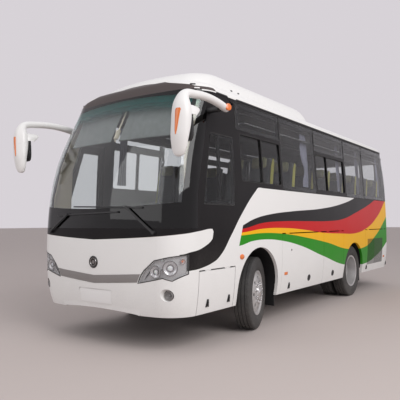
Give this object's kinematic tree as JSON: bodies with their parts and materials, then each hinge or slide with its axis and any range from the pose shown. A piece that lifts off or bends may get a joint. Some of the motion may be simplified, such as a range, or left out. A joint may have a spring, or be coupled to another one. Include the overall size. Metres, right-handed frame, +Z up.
{
  "type": "coach bus",
  "caption": "Single-deck coach bus with a raked windshield, band of side windows, swinging passenger door, luggage doors, engine doors and steered front wheels.",
  "frame": {"origin": "on the ground, under the middle of the whole vehicle", "axes": "+Z up, -Y towards the nose, +X towards the driver's side"},
  "size_m": [3.0132, 8.2496, 3.45],
  "materials": {
    "white_paint": "gloss white paint",
    "frame_steel": "satin black paint",
    "engine_iron": "rough cast",
    "sheet_aluminium": "plain sheet",
    "floor_board": "matt floor covering",
    "dark_trim": "grained",
    "grey_trim": "matt",
    "black_trim": "matt",
    "white_plastic": "gloss",
    "tinted_glass": "dark tint",
    "clear_glass": "clear",
    "lamp_glass": "clear lens",
    "red_lens": "gloss",
    "seat_fabric": "woven",
    "tyre_rubber": "matt",
    "wheel_paint": "silver paint"
  },
  "bodies": {
    "body": {"air_conditioner_cover": "white_paint", "chassis_frame": "frame_steel", "dashboard": "dark_trim", "engine_block": "engine_iron", "floor": "floor_board", "front_axle": "frame_steel", "front_bumper": "white_paint", "front_lamps": "lamp_glass", "front_panel": "white_paint", "luggage_bay": "sheet_aluminium", "luggage_racks": "grey_trim", "mirrors": "white_plastic", "rear_axle": "frame_steel", "rear_wall": "white_paint", "roof": "white_paint", "seats": "seat_fabric", "side_wall_left": "white_paint", "side_wall_right": "white_paint", "sun_blinds": "grey_trim", "tail_lamps": "red_lens", "wheel_housings": "black_trim", "window_glass": "tinted_glass", "windshield": "clear_glass", "wipers": "black_trim"},
    "knuckle_left": {"knuckle_left": "frame_steel"},
    "knuckle_right": {"knuckle_right": "frame_steel"},
    "wheel_front_left": {"tyre_front_left": "tyre_rubber", "wheel_front_left": "wheel_paint"},
    "wheel_front_right": {"tyre_front_right": "tyre_rubber", "wheel_front_right": "wheel_paint"},
    "wheel_rear_left": {"tyres_rear_left": "tyre_rubber", "wheels_rear_left": "wheel_paint"},
    "wheel_rear_right": {"tyres_rear_right": "tyre_rubber", "wheels_rear_right": "wheel_paint"},
    "door_arm": {"door_arm": "frame_steel"},
    "door_leaf": {"door_leaf": "white_paint", "door_glass": "tinted_glass"},
    "luggage_door_front_left": {"luggage_door_front_left": "white_paint"},
    "luggage_door_rear_left": {"luggage_door_rear_left": "white_paint"},
    "luggage_door_front_right": {"luggage_door_front_right": "white_paint"},
    "luggage_door_rear_right": {"luggage_door_rear_right": "white_paint"},
    "engine_side_door_left": {"engine_side_door_left": "white_paint"},
    "engine_side_door_right": {"engine_side_door_right": "white_paint"},
    "service_flap": {"service_flap": "white_paint"},
    "engine_lid": {"engine_lid": "white_paint"}
  },
  "joints": [
    {"name": "steer_left", "type": "hinge", "parent": "body", "child": "knuckle_left", "pos_m": [0.905, -2.1, 0.487], "axis": [0, 0, 1], "range_deg": [-51, 19]},
    {"name": "steer_right", "type": "hinge", "parent": "body", "child": "knuckle_right", "pos_m": [-0.905, -2.1, 0.487], "axis": [0, 0, 1], "range_deg": [-51, 19]},
    {"name": "roll_front_left", "type": "hinge", "parent": "knuckle_left", "child": "wheel_front_left", "pos_m": [1.03477, -2.06279, 0.487], "axis": [0.9613, 0.2756, 0], "continuous": true},
    {"name": "roll_front_right", "type": "hinge", "parent": "knuckle_right", "child": "wheel_front_right", "pos_m": [-1.03477, -2.13721, 0.487], "axis": [0.9613, 0.2756, 0], "continuous": true},
    {"name": "roll_rear_left", "type": "hinge", "parent": "body", "child": "wheel_rear_left", "pos_m": [0.9, 1.68, 0.487], "axis": [1, 0, 0], "continuous": true},
    {"name": "roll_rear_right", "type": "hinge", "parent": "body", "child": "wheel_rear_right", "pos_m": [-0.9, 1.68, 0.487], "axis": [1, 0, 0], "continuous": true},
    {"name": "door_swing", "type": "hinge", "parent": "body", "child": "door_arm", "pos_m": [-1.08, -2.8, 0.8], "axis": [0, 0, -1], "range_deg": [0, 150]},
    {"name": "door_keep_parallel", "type": "hinge", "parent": "door_arm", "child": "door_leaf", "pos_m": [-1.08, -3.25, 0.8], "axis": [0, 0, -1], "range_deg": [-150, 0]},
    {"name": "luggage_lift_front_left", "type": "hinge", "parent": "body", "child": "luggage_door_front_left", "pos_m": [1.221, -0.665, 1.28], "axis": [0, -1, 0], "range_deg": [0, 85]},
    {"name": "luggage_lift_rear_left", "type": "hinge", "parent": "body", "child": "luggage_door_rear_left", "pos_m": [1.221, 0.6, 1.28], "axis": [0, -1, 0], "range_deg": [0, 85]},
    {"name": "luggage_lift_front_right", "type": "hinge", "parent": "body", "child": "luggage_door_front_right", "pos_m": [-1.221, -0.665, 1.28], "axis": [0, 1, 0], "range_deg": [0, 85]},
    {"name": "luggage_lift_rear_right", "type": "hinge", "parent": "body", "child": "luggage_door_rear_right", "pos_m": [-1.221, 0.6, 1.28], "axis": [0, 1, 0], "range_deg": [0, 85]},
    {"name": "engine_door_lift_left", "type": "hinge", "parent": "body", "child": "engine_side_door_left", "pos_m": [1.221, 3.075, 1.28], "axis": [0, -1, 0], "range_deg": [0, 85]},
    {"name": "engine_door_lift_right", "type": "hinge", "parent": "body", "child": "engine_side_door_right", "pos_m": [-1.221, 3.075, 1.28], "axis": [0, 1, 0], "range_deg": [0, 85]},
    {"name": "service_flap_lift", "type": "hinge", "parent": "body", "child": "service_flap", "pos_m": [1.213, -3.115, 0.9], "axis": [0, -1, 0], "range_deg": [0, 85]},
    {"name": "engine_lid_lift", "type": "hinge", "parent": "body", "child": "engine_lid", "pos_m": [0, 4.126, 1.5], "axis": [1, 0, 0], "range_deg": [0, 80]}
  ],
  "couplings": [
    {"joint": "steer_right", "follows": "steer_left", "ratio": 1},
    {"joint": "door_keep_parallel", "follows": "door_swing", "ratio": -1}
  ]
}
